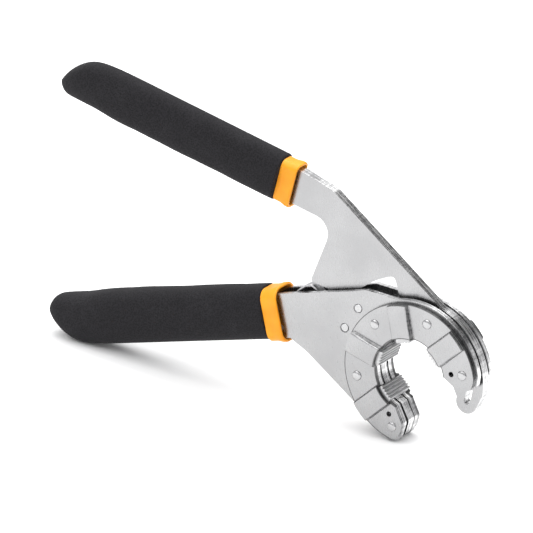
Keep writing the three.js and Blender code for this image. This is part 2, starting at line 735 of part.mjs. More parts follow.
jawAngles.forEach((angle, i) => {
  const pinHalf = JAW_THICKNESS / 2 - SEAT;
  add(`jaw_${i + 1}`, jaw(angle), darkSteel);
  add(`jaw_pin_${i + 1}`, pin(JAW_PIN_R, -pinHalf, pinHalf, polar(pinOpenR, angle)), darkSteel);
});

// Stand the tool on the ring's lower side and the lower grip: turn it until the line under both
// is level, then bring the middle of its base to the origin.
function footprint(names) {
  return tool.children.filter((mesh) => names.includes(mesh.name)).flatMap((mesh) => {
    const at = mesh.geometry.getAttribute('position');
    return Array.from({ length: at.count }, (_, i) => new THREE.Vector2(at.getX(i), at.getZ(i)));
  });
}

function standAngle() {
  const head = footprint(['front_cover', 'rear_cover', 'front_handle_plate', 'arm_plate_front']);
  const rest = footprint(['lower_grip', 'lower_collar']);
  const height = (point, turn) => point.x * Math.sin(turn) + point.y * Math.cos(turn);
  const lowest = (points, turn) => points.reduce((best, point) => {
    return height(point, turn) < height(best, turn) ? point : best;
  });
  let turn = 0;
  for (let i = 0; i < 20; i += 1) {
    const under = lowest(head, turn).clone().sub(lowest(rest, turn));
    turn = -under.angle();
  }
  return THREE.MathUtils.euclideanModulo(turn + Math.PI, 2 * Math.PI) - Math.PI;
}

tool.rotation.y = -standAngle();
const assembly = new THREE.Group();
assembly.add(tool);
const bounds = new THREE.Box3().setFromObject(assembly, true);
const centre = bounds.getCenter(new THREE.Vector3());
assembly.position.set(-centre.x, -centre.y, -bounds.min.z);

export default assembly;
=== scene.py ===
"""Looks of a self-adjusting multi-jaw wrench pliers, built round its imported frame.

New pieces are modelled in millimetres at the origin, in axes of their own, and are put in their
place in the frame when they are finished. The stamped steel pieces stay as the frame has them,
with broken edges and a finish of their own.
"""

import json
import logging
import math
from collections.abc import Callable, Sequence
from dataclasses import dataclass, replace
from enum import Enum

import bmesh
import bpy
from mathutils import Matrix, Vector


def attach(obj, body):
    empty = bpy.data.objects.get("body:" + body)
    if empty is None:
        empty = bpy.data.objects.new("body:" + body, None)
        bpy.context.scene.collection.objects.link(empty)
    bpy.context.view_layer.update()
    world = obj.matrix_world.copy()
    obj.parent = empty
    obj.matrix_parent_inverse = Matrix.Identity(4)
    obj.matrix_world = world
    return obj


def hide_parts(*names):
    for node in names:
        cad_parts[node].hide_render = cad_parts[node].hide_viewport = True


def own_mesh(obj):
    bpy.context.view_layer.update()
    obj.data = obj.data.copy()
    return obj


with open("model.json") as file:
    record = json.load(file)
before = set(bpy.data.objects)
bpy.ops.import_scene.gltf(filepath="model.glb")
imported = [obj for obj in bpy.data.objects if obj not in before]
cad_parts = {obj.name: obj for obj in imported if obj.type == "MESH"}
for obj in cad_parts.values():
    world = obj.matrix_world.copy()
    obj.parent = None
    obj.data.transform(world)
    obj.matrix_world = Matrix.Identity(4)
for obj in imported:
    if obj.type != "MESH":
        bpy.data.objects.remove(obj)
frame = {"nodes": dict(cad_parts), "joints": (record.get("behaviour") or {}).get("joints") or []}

log = logging.getLogger("wrench_pliers")

MM = 0.001
STAND_ANGLE = 15.9392

Row = tuple[float, float]
Value = "Expression | bpy.types.NodeSocket | float | Sequence[float]"


class Body(Enum):
    """The bodies that the pieces ride on."""

    LOWER = "lower_handle"
    UPPER = "upper_handle"


class Part(Enum):
    """What an edit-mode selection is made of."""

    VERTICES = "VERT"
    EDGES = "EDGE"
    FACES = "FACE"


# --- Places -------------------------------------------------------------------------------------


def direction(degrees: float) -> Vector:
    """Unit vector in the plane of the plates, anticlockwise from the tool's own X axis."""
    angle = math.radians(degrees + STAND_ANGLE)
    return Vector((math.cos(angle), 0.0, math.sin(angle)))


def head_centre() -> Vector:
    """Centre of the head in millimetres, on the hinge of the handles."""
    hinge = next(joint for joint in frame["joints"] if joint["name"] == "handle_squeeze")
    return Vector(hinge["pos_m"]) / MM


@dataclass(frozen=True)
class Axes:
    """Axes that a piece is modelled in: x at a heading, y square to it, z through the thickness.

    The origin stands at a distance from the head centre along the heading and across it.
    """

    heading: float
    along: float = 0.0
    across: float = 0.0

    def matrix(self) -> Matrix:
        """Transform from these axes in millimetres to the frame in metres."""
        x = direction(self.heading)
        y = direction(self.heading - 90)
        z = Vector((0.0, 1.0, 0.0))
        origin = head_centre() + x * self.along + y * self.across
        turned = Matrix((x, y, z)).transposed().to_4x4()
        return Matrix.Scale(MM, 4) @ Matrix.Translation(origin) @ turned


@dataclass(frozen=True)
class Handle:
    """Sizes of one handle in its own axes, in millimetres.

    Attributes:
        name: First word of its pieces' names.
        body: Body that it rides on.
        heading: Direction of the grip from the head.
        offset: Distance of the grip's line from the head centre.
        collar_at: Start of the collar along the line.
        shoulder: Edges of the plates at the collar.
        tang_half: Half of the tang's height.
        faces: Front and rear face of the plates.
        grip_half: Half of the grip's height.
        foam: Foam over the plates' faces.
        outer: Side that faces away from the other handle.
    """

    name: str
    body: Body
    heading: float
    offset: float
    collar_at: float
    shoulder: Row
    tang_half: float
    faces: Row
    grip_half: float
    foam: float
    outer: int

    def axes(self) -> Axes:
        """Axes on the line of the grip."""
        return Axes(self.heading, across=self.offset)

    def middle(self) -> float:
        """Middle of the plates through the thickness."""
        return sum(self.faces) / 2

    def half_stack(self) -> float:
        """Half of the plates' thickness."""
        return (self.faces[1] - self.faces[0]) / 2


UPPER = Handle(
    name="upper",
    body=Body.UPPER,
    heading=154.1,
    offset=49.5,
    collar_at=70.0,
    shoulder=(-7.5, 7.1),
    tang_half=5.5,
    faces=(-1.5, 2.7),
    grip_half=9.8,
    foam=4.4,
    outer=1,
)
LOWER = Handle(
    name="lower",
    body=Body.LOWER,
    heading=181.5,
    offset=25.8,
    collar_at=54.5,
    shoulder=(-9.6, 8.4),
    tang_half=6.0,
    faces=(-5.3, 5.3),
    grip_half=10.9,
    foam=3.2,
    outer=-1,
)


# --- Materials ----------------------------------------------------------------------------------


class Expression:
    """A number in a material's nodes. Arithmetic on it adds Math nodes."""

    def __init__(self, shader: "Shader", socket: bpy.types.NodeSocket) -> None:
        """Wraps an output socket of a shader's node."""
        self.shader = shader
        self.socket = socket

    def __add__(self, other: Value) -> "Expression":
        """Sum."""
        return self.shader.maths("ADD", self, other)

    def __radd__(self, other: Value) -> "Expression":
        """Sum with a plain number first."""
        return self.shader.maths("ADD", other, self)

    def __sub__(self, other: Value) -> "Expression":
        """Difference."""
        return self.shader.maths("SUBTRACT", self, other)

    def __rsub__(self, other: Value) -> "Expression":
        """Difference with a plain number first."""
        return self.shader.maths("SUBTRACT", other, self)

    def __mul__(self, other: Value) -> "Expression":
        """Product."""
        return self.shader.maths("MULTIPLY", self, other)

    def __rmul__(self, other: Value) -> "Expression":
        """Product with a plain number first."""
        return self.shader.maths("MULTIPLY", other, self)

    def __abs__(self) -> "Expression":
        """Size without its sign."""
        return self.shader.maths("ABSOLUTE", self)

    def between(self, low: float, high: float) -> "Expression":
        """Smooth step from 0 at low to 1 at high.

        Args:
            low: Value that gives 0.
            high: Value that gives 1. It may be below low.

        Returns:
            The step.
        """
        span = self.shader.node(
            "ShaderNodeMapRange",
            {"interpolation_type": "SMOOTHSTEP"},
            {"Value": self, "From Min": low, "From Max": high},
        )
        return Expression(self.shader, span.outputs["Result"])


class Shader:
    """Nodes of one material round its Principled shader."""

    def __init__(self, name: str, constants: dict[str, float]) -> None:
        """Starts a material.

        Args:
            name: Name of the material.
            constants: Values of the Principled shader's sockets that are the same all over.
        """
        self.material = bpy.data.materials.new(name)
        self.material.use_nodes = True
        self.tree = self.material.node_tree
        self.surface = self.tree.nodes["Principled BSDF"]
        for socket, value in constants.items():
            self.surface.inputs[socket].default_value = value

    def _feed(self, socket: bpy.types.NodeSocket, value: Value) -> None:
        """Links a socket, or sets its value."""
        if isinstance(value, Expression):
            value = value.socket
        if isinstance(value, bpy.types.NodeSocket):
            self.tree.links.new(value, socket)
        else:
            socket.default_value = value

    def node(
        self,
        kind: str,
        settings: dict[str, object] | None = None,
        inputs: dict[str | int, Value] | None = None,
    ) -> bpy.types.Node:
        """Adds a node of any kind.

        Args:
            kind: The node's type.
            settings: Its properties, set before its sockets.
            inputs: Values or links of its sockets.

        Returns:
            The node.
        """
        made = self.tree.nodes.new(kind)
        for name, setting in (settings or {}).items():
            setattr(made, name, setting)
        for name, value in (inputs or {}).items():
            self._feed(made.inputs[name], value)
        return made

    def maths(self, operation: str, first: Value, second: Value = 0.0) -> Expression:
        """Adds a Math node and returns its result."""
        made = self.node("ShaderNodeMath", {"operation": operation}, {0: first, 1: second})
        return Expression(self, made.outputs[0])

    def place(self, stretch: Sequence[float] = (1.0, 1.0, 1.0), turn: float = 0.0) -> Value:
        """Place on the piece, for a pattern.

        Args:
            stretch: How many times denser the pattern is along each axis.
            turn: Turn of the pattern in the plane of the plates, in degrees.

        Returns:
            The vector socket.
        """
        spot = self.node("ShaderNodeTexCoord").outputs["Object"]
        turned = self.node(
            "ShaderNodeMapping",
            {"vector_type": "POINT"},
            {"Vector": spot, "Rotation": (0.0, math.radians(turn), 0.0)},
        )
        scaled = self.node(
            "ShaderNodeMapping",
            {"vector_type": "POINT"},
            {"Vector": turned.outputs[0], "Scale": tuple(stretch)},
        )
        return scaled.outputs[0]

    def noise(self, place: Value, scale: float, detail: float = 2.0) -> Expression:
        """Noise of 0 to 1, with blots of about a metre over the scale."""
        made = self.node(
            "ShaderNodeTexNoise", {}, {"Vector": place, "Scale": scale, "Detail": detail}
        )
        return Expression(self, made.outputs[0])

    def cells(self, place: Value, scale: float) -> Expression:
        """Distance from the nearest of a spread of cell centres."""
        made = self.node("ShaderNodeTexVoronoi", {}, {"Vector": place, "Scale": scale})
        return Expression(self, made.outputs["Distance"])

    def flatness(self) -> Expression:
        """1 on faces in the plane of the plates, 0 on the sheared edges."""
        normal = self.node("ShaderNodeNewGeometry").outputs["Normal"]
        parts = self.node("ShaderNodeSeparateXYZ", {}, {0: normal})
        return abs(Expression(self, parts.outputs["Y"])).between(0.80, 0.97)

    def blend(self, share: Value, first: Value, second: Value) -> Value:
        """Colour between two colours or colour sockets."""
        made = self.node("ShaderNodeMix", {"data_type": "RGBA"})
        self._feed(made.inputs[0], share)
        for socket, colour in ((made.inputs[6], first), (made.inputs[7], second)):
            plain = not isinstance(colour, bpy.types.NodeSocket)
            self._feed(socket, (*colour, 1.0) if plain and len(colour) == 3 else colour)
        return made.outputs[2]

    def bump(self, height: Value, distance: float, strength: float = 1.0) -> Value:
        """Normal with a relief of the given height in metres."""
        made = self.node(
            "ShaderNodeBump",
            {},
            {"Height": height, "Distance": distance, "Strength": strength},
        )
        return made.outputs[0]

    def finish(self, sockets: dict[str, Value]) -> bpy.types.Material:
        """Feeds the Principled shader's varying sockets and returns the material."""
        for name, value in sockets.items():
            self._feed(self.surface.inputs[name], value)
        return self.material


Colour = tuple[float, float, float]


@dataclass(frozen=True)
class StampedPlate:
    """Bright plating on stamped sheet, with smooth faces and streaky sheared edges. The edges'
    streaks are partly burnish and tear marks and partly painted reflections.

    Attributes:
        name: Name of the material.
        dark: Darkest tone of the faces.
        light: Lightest tone of the faces.
        edge_painted_dark: Darkest tone of the sheared edges, the dark of their painted
            reflections.
        edge_painted_light: Lightest tone of the sheared edges, the bright of their painted
            reflections.
        roughness: Roughness of the faces.
        edge_roughness: Roughness of the edges.
        painted_seam_shade: Rings round the head, in millimetres, painted dark as shade at the
            seams.
        painted_shade_tone: How much of the tone is left in that painted shade.
    """

    name: str
    dark: Colour
    light: Colour
    edge_painted_dark: Colour
    edge_painted_light: Colour
    roughness: float
    edge_roughness: float
    painted_seam_shade: tuple[Row, ...] = ()
    painted_shade_tone: float = 0.30

    def unshaded_share(self, shader: Shader) -> Value:
        """1 outside the painted seam shade, less in its dark rings."""
        parts = shader.node(
            "ShaderNodeSeparateXYZ", {}, {0: shader.node("ShaderNodeTexCoord").outputs["Object"]}
        )
        centre = head_centre() * MM
        x = Expression(shader, parts.outputs["X"]) - centre.x
        z = Expression(shader, parts.outputs["Z"]) - centre.z
        radius = shader.maths("SQRT", x * x + z * z)
        unshaded_share: Value = 1.0
        for inner, outer in self.painted_seam_shade:
            inside = radius.between((inner - 0.12) * MM, (inner + 0.12) * MM)
            outside = radius.between((outer + 0.12) * MM, (outer - 0.12) * MM)
            unshaded_share = unshaded_share - inside * outside * (1 - self.painted_shade_tone)
        return unshaded_share

    def material(self) -> bpy.types.Material:
        """Builds the material.

        Returns:
            The material.
        """
        shader = Shader(self.name, {"Metallic": 1.0})
        flat = shader.flatness()
        cloud = shader.noise(shader.place(), 45.0, 3.0)
        grain = shader.noise(shader.place((1.0, 1.0, 0.08), turn=20.0), 2600.0)
        burnish = shader.noise(shader.place((1.0, 18.0, 1.0)), 95.0, 3.0)
        tears = shader.noise(shader.place((1.0, 0.12, 1.0)), 900.0, 2.0)
        # The edges' streaks are partly burnish and tear marks and partly painted reflections.
        streak_and_reflection = (burnish * 0.65 + tears * 0.35).between(0.40, 0.60)
        face = shader.blend(cloud.between(0.3, 0.7), self.dark, self.light)
        edge = shader.blend(streak_and_reflection, self.edge_painted_dark, self.edge_painted_light)
        face_rough = self.roughness + cloud * 0.05 + grain * 0.05
        edge_rough = self.edge_roughness + burnish * 0.16
        relief = grain * flat * 0.12 + (burnish + tears * 0.6) * (1 - flat)
        tone = shader.blend(flat, edge, face)
        # Dark rings painted in as shade at the seams round the covers' rim and bore.
        if self.painted_seam_shade:
            tone = shader.blend(self.unshaded_share(shader), (0.0, 0.0, 0.0), tone)
        return shader.finish(
            {
                "Base Color": tone,
                "Roughness": face_rough * flat + edge_rough * (1 - flat),
                "Normal": shader.bump(relief, 0.00006, 0.5),
            }
        )


@dataclass(frozen=True)
class GroundSteel:
    """Satin steel, ground along the thickness of the tool."""

    name: str
    dark: Colour
    light: Colour
    roughness: float
    relief: float = 0.00003

    def material(self) -> bpy.types.Material:
        """Builds the material.

        Returns:
            The material.
        """
        shader = Shader(self.name, {"Metallic": 1.0})
        lines = shader.noise(shader.place((1.0, 0.05, 1.0)), 2400.0)
        cloud = shader.noise(shader.place(), 160.0, 3.0)
        share = (lines * 0.5 + cloud * 0.5).between(0.35, 0.65)
        return shader.finish(
            {
                "Base Color": shader.blend(share, self.dark, self.light),
                "Roughness": self.roughness + cloud * 0.1 + lines * 0.06,
                "Normal": shader.bump(lines, self.relief, 0.4),
            }
        )


@dataclass(frozen=True)
class MouldedPlastic:
    """Satin moulded plastic with a faint orange-peel skin."""

    name: str
    deep: Colour
    bright: Colour
    roughness: float

    def material(self) -> bpy.types.Material:
        """Builds the material.

        Returns:
            The material.
        """
        shader = Shader(self.name, {"Specular IOR Level": 0.3, "Coat Roughness": 0.25})
        cloud = shader.noise(shader.place(), 120.0, 3.0)
        skin = shader.noise(shader.place(), 1500.0)
        return shader.finish(
            {
                "Base Color": shader.blend(cloud.between(0.3, 0.7), self.deep, self.bright),
                "Roughness": self.roughness + cloud * 0.08 + skin * 0.05,
                "Coat Weight": 0.04 + cloud * 0.06,
                "Normal": shader.bump(skin, 0.00003, 0.35),
            }
        )


@dataclass(frozen=True)
class ClosedCellFoam:
    """Dull foam rubber with a skin of fine cells, their pits painted darker as shade."""

    name: str
    pit_shade: Colour
    skin: Colour
    scuff: Colour
    cell_scale: float

    def material(self) -> bpy.types.Material:
        """Builds the material.

        Returns:
            The material.
        """
        constants = {"Sheen Weight": 0.04, "Sheen Roughness": 0.5, "Specular IOR Level": 0.22}
        shader = Shader(self.name, constants)
        place = shader.place()
        fine = shader.noise(place, self.cell_scale * 1.3, 2.0)
        cells = shader.cells(place, self.cell_scale)
        patches = shader.noise(place, 70.0, 3.0)
        # The cells' pits are painted darker, as shade in the recesses.
        open_cell = (cells + fine * 0.5).between(0.45, 0.95)
        base = shader.blend(open_cell, self.pit_shade, self.skin)
        worn = patches.between(0.45, 0.8) * fine.between(0.4, 0.7)
        return shader.finish(
            {
                "Base Color": shader.blend(worn, base, self.scuff),
                "Roughness": 0.86 + fine * 0.1,
                "Normal": shader.bump(cells + fine * 0.7, 0.00014, 0.45),
            }
        )


NICKEL = StampedPlate(
    name="nickel_plate",
    dark=(0.38, 0.38, 0.385),
    light=(0.43, 0.43, 0.435),
    edge_painted_dark=(0.38, 0.38, 0.385),
    edge_painted_light=(0.88, 0.88, 0.88),
    roughness=0.22,
    edge_roughness=0.18,
)
COVER_NICKEL = replace(
    NICKEL,
    name="cover_nickel_plate",
    # The covers' edges are painted darker than the plates', as shade along their outlines.
    edge_painted_dark=(0.16, 0.16, 0.165),
    edge_painted_light=(0.52, 0.52, 0.52),
    edge_roughness=0.22,
    # Dark rings painted as shade at the seams round the covers' rim and bore.
    painted_seam_shade=((15.3, 15.75), (28.85, 29.3)),
)
PLAIN_STEEL = GroundSteel("plain_steel", (0.38, 0.38, 0.385), (0.50, 0.50, 0.505), 0.32)
JAW_STEEL = GroundSteel("jaw_steel", (0.46, 0.46, 0.465), (0.60, 0.60, 0.605), 0.28, 0.00001)
SPRING_STEEL = GroundSteel("spring_steel", (0.40, 0.40, 0.41), (0.58, 0.58, 0.59), 0.24)
RIVET_STEEL = GroundSteel("rivet_steel", (0.47, 0.47, 0.475), (0.55, 0.55, 0.555), 0.16, 0.00001)
COLLAR = MouldedPlastic("collar_plastic", (0.85, 0.30, 0.006), (0.94, 0.37, 0.012), 0.36)
FOAM = ClosedCellFoam(
    name="grip_foam",
    pit_shade=(0.008, 0.008, 0.009),
    skin=(0.0165, 0.0155, 0.018),
    scuff=(0.027, 0.026, 0.029),
    cell_scale=1600.0,
)

Finish = StampedPlate | GroundSteel | MouldedPlastic | ClosedCellFoam


class Wardrobe:
    """Materials made so far, one for each finish."""

    def __init__(self) -> None:
        """Starts with none."""
        self.made: dict[str, bpy.types.Material] = {}

    def dress(self, piece: bpy.types.Object, finish: Finish) -> None:
        """Gives a piece its finish.

        Args:
            piece: New piece, or one of the frame's.
            finish: The finish.
        """
        if finish.name not in self.made:
            self.made[finish.name] = finish.material()
        if not piece.material_slots:
            piece.data.materials.append(None)
        for held in piece.material_slots:
            held.link = "OBJECT"
            held.material = self.made[finish.name]


# --- Bench --------------------------------------------------------------------------------------


class Bench:
    """One piece being modelled, in millimetres, with the tools of edit mode."""

    def __init__(self, name: str) -> None:
        """Takes the primitive that was just added as the start of a piece."""
        self.piece = bpy.context.object
        self.piece.name = name
        self.piece.data.name = name
        bpy.ops.object.transform_apply(location=True, rotation=True, scale=True)
        bpy.ops.object.mode_set(mode="EDIT")

    @classmethod
    def block(cls, name: str, low: Sequence[float], high: Sequence[float]) -> "Bench":
        """Starts from a block between two corners."""
        bpy.ops.object.select_all(action="DESELECT")
        middle = [(a + b) / 2 for a, b in zip(low, high)]
        size = [b - a for a, b in zip(low, high)]
        bpy.ops.mesh.primitive_cube_add(size=1.0, location=middle, scale=size)
        return cls(name)

    @classmethod
    def bar(cls, name: str, radius: float, half: float, sides: int = 48) -> "Bench":
        """Starts from a round bar along z, centred on the origin."""
        bpy.ops.object.select_all(action="DESELECT")
        bpy.ops.mesh.primitive_cylinder_add(vertices=sides, radius=radius, depth=2 * half)
        return cls(name)

    def pick(self, part: Part, test: Callable[[Vector, Vector], bool]) -> int:
        """Selects by place and direction.

        Args:
            part: What to select.
            test: Takes an item's middle and its normal, or an edge's direction.

        Returns:
            How many are selected.
        """
        bpy.ops.mesh.select_mode(type=part.value)
        bpy.ops.mesh.select_all(action="DESELECT")
        mesh = bmesh.from_edit_mesh(self.piece.data)
        if part is Part.FACES:
            found = [f for f in mesh.faces if test(f.calc_center_median(), f.normal)]
        elif part is Part.EDGES:
            ends = {e: (e.verts[0].co, e.verts[1].co) for e in mesh.edges}
            found = [
                e for e, (a, b) in ends.items() if test((a + b) / 2, (b - a).normalized())
            ]
        else:
            found = [v for v in mesh.verts if test(v.co, v.normal)]
        for item in found:
            item.select_set(True)
        mesh.select_flush_mode()
        bmesh.update_edit_mesh(self.piece.data)
        return len(found)

    def bevel(self, width: float, segments: int, profile: float = 0.5) -> None:
        """Rounds the selected edges."""
        bpy.ops.mesh.bevel(
            offset=width,
            offset_type="OFFSET",
            segments=segments,
            profile=profile,
            affect="EDGES",
            clamp_overlap=True,
        )

    def cut(self, place: Sequence[float], normal: Sequence[float]) -> None:
        """Adds a loop of edges where a plane crosses the piece."""
        bpy.ops.mesh.select_all(action="SELECT")
        bpy.ops.mesh.bisect(plane_co=place, plane_no=normal, threshold=0.0001)

    def scale(self, value: Sequence[float], centre: Sequence[float]) -> None:
        """Scales the selection about a point."""
        bpy.ops.transform.resize(value=value, center_override=centre)

    def inset(self, width: float) -> None:
        """Draws a smaller outline inside the selected face."""
        bpy.ops.mesh.inset(thickness=width, depth=0.0, use_boundary=True)

    def extrude(self, move: Sequence[float]) -> None:
        """Extrudes the selection by a move."""
        bpy.ops.mesh.extrude_region_move(TRANSFORM_OT_translate={"value": tuple(move)})

    def draw_end(self, end: int, steps: Sequence[Row]) -> None:
        """Draws out the end of a round bar.

        Args:
            end: +1 for the end at high z, -1 for the other.
            steps: Rise and radius of each new ring, as millimetres and as a share of the last.
        """
        reach = max(end * v.co.z for v in bmesh.from_edit_mesh(self.piece.data).verts)
        self.pick(Part.FACES, lambda at, way: end * at.z > reach - 1e-4 and end * way.z > 0.9)
        for rise, share in steps:
            self.extrude((0.0, 0.0, end * rise))
            bpy.ops.transform.resize(value=(share, share, 1.0))

    def hollow(self, low: Sequence[float], high: Sequence[float]) -> None:
        """Cuts a square-cornered slot right through, between two corners."""
        bpy.ops.object.mode_set(mode="OBJECT")
        piece = self.piece
        bpy.ops.object.select_all(action="DESELECT")
        middle = [(a + b) / 2 for a, b in zip(low, high)]
        size = [b - a for a, b in zip(low, high)]
        bpy.ops.mesh.primitive_cube_add(size=1.0, location=middle, scale=size)
        cutter = bpy.context.object
        bpy.context.view_layer.objects.active = piece
        slot = piece.modifiers.new("slot", "BOOLEAN")
        slot.operation = "DIFFERENCE"
        slot.object = cutter
        slot.solver = "EXACT"
        bpy.ops.object.modifier_apply(modifier=slot.name)
        bpy.data.objects.remove(cutter)
        bpy.ops.object.mode_set(mode="EDIT")

    def done(self, axes: Axes, smooth: float = 30.0) -> bpy.types.Object:
        """Leaves edit mode and puts the piece in its place in the frame.

        Args:
            axes: Axes that it was modelled in.
            smooth: Largest angle in degrees that is shaded as smooth.

        Returns:
            The finished piece.
        """
        bpy.ops.object.mode_set(mode="OBJECT")
        bpy.ops.object.select_all(action="DESELECT")
        self.piece.select_set(True)
        bpy.context.view_layer.objects.active = self.piece
        bpy.ops.object.shade_smooth_by_angle(angle=math.radians(smooth))
        self.piece.data.transform(axes.matrix())
        self.piece.data.update()
        return self.piece


def copied(piece: bpy.types.Object, name: str, start: Axes, end: Axes) -> bpy.types.Object:
    """Copies a finished piece from one set of axes to another, with a mesh of its own.

    Args:
        piece: The finished piece.
        name: Name of the copy.
        start: Axes of the piece.
        end: Axes of the copy.

    Returns:
        The copy.
    """
    twin = piece.copy()
    twin.data = piece.data.copy()
    twin.name = name
    twin.data.name = name
    twin.data.transform(end.matrix() @ start.matrix().inverted())
    bpy.context.scene.collection.objects.link(twin)
    return twin


def settle(piece: bpy.types.Object, body: Body, nodes: Sequence[str]) -> None:
    """Puts a finished piece on its body in place of the frame's nodes.

    Args:
        piece: The piece.
        body: Body that it rides on.
        nodes: The frame's nodes that it stands for.
    """
    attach(piece, body.value)
    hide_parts(*nodes)
    log.info("%s: %d faces, for %s", piece.name, len(piece.data.polygons), ", ".join(nodes))


# --- Steel that the frame holds -----------------------------------------------------------------


@dataclass
class StampedSteel:
    """The frame's own steel pieces: their broken edges and their finishes.

    Attributes:
        cover_edge: Rounding of a pressed cover's edges.
        plate_edge: Rounding of a stamped plate's edges.
        jaw_edge: Rounding of a jaw's edges.
        weld: Distance in metres that joins the corners of a node's facets.
        sharp: Angle in degrees from which an edge is rounded.
        covers: Nodes of the pressed covers.
        plates: Nodes of stamped sheet.
        jaws: Nodes of ground steel.
        inner: Nodes of plain steel.
    """

    wardrobe: Wardrobe
    cover_edge: float = 0.5
    plate_edge: float = 0.28
    jaw_edge: float = 0.12
    weld: float = 0.000002
    sharp: float = 32.0
    covers: tuple[str, ...] = ("front_cover", "rear_cover")
    plates: tuple[str, ...] = (
        "front_handle_plate",
        "rear_handle_plate",
        "arm_plate_front",
        "arm_plate_rear",
    )
    jaws: tuple[str, ...] = tuple(
        f"{kind}_{i}" for kind in ("jaw", "jaw_pin") for i in range(1, 5)
    )
    inner: tuple[str, ...] = (
        "handle_bush_1",
        "handle_bush_2",
        "tang_spacer",
        "tang_rivet_1",
        "tang_rivet_2",
        "spring_pin",
        "arm_rivet_1",
        "arm_rivet_2",
    )

    def break_edges(self, node: bpy.types.Object, width: float) -> None:
        """Rounds a node's edges with modifiers, its mesh left as it is.

        Args:
            node: The frame's node.
            width: Width of the rounding in millimetres.
        """
        weld = node.modifiers.new("weld", "WELD")
        weld.merge_threshold = self.weld
        flat = node.modifiers.new("flat_faces", "DECIMATE")
        flat.decimate_type = "DISSOLVE"
        flat.angle_limit = math.radians(0.5)
        edge = node.modifiers.new("broken_edges", "BEVEL")
        edge.width = width * MM
        edge.segments = 3
        edge.limit_method = "ANGLE"
        edge.angle_limit = math.radians(self.sharp)
        edge.use_clamp_overlap = True
        edge.harden_normals = False
        shade = node.modifiers.new("shading", "NODES")
        shade.node_group = self.smooth_faces()
        even = node.modifiers.new("even_faces", "WEIGHTED_NORMAL")
        even.keep_sharp = True
        even.weight = 50

    @staticmethod
    def smooth_faces() -> bpy.types.NodeTree:
        """Node group that shades every face as smooth.

        Returns:
            The group, made on the first call.
        """
        name = "smooth_faces"
        if name in bpy.data.node_groups:
            return bpy.data.node_groups[name]
        group = bpy.data.node_groups.new(name, "GeometryNodeTree")
        group.interface.new_socket("Geometry", in_out="INPUT", socket_type="NodeSocketGeometry")
        group.interface.new_socket("Geometry", in_out="OUTPUT", socket_type="NodeSocketGeometry")
        taken = group.nodes.new("NodeGroupInput")
        given = group.nodes.new("NodeGroupOutput")
        smooth = group.nodes.new("GeometryNodeSetShadeSmooth")
        group.links.new(taken.outputs[0], smooth.inputs["Geometry"])
        group.links.new(smooth.outputs[0], given.inputs[0])
        return group

    def build(self) -> None:
        """Finishes every steel node that stays."""
        for names, finish, width in (
            (self.covers, COVER_NICKEL, self.cover_edge),
            (self.plates, NICKEL, self.plate_edge),
            (self.jaws, JAW_STEEL, self.jaw_edge),
            (self.inner, PLAIN_STEEL, self.jaw_edge),
        ):
            for name in names:
                node = frame["nodes"][name]
                self.break_edges(node, width)
                self.wardrobe.dress(node, finish)
                log.info("%s: edges broken by %.2f mm, %s", name, width, finish.name)


# --- Rivets -------------------------------------------------------------------------------------


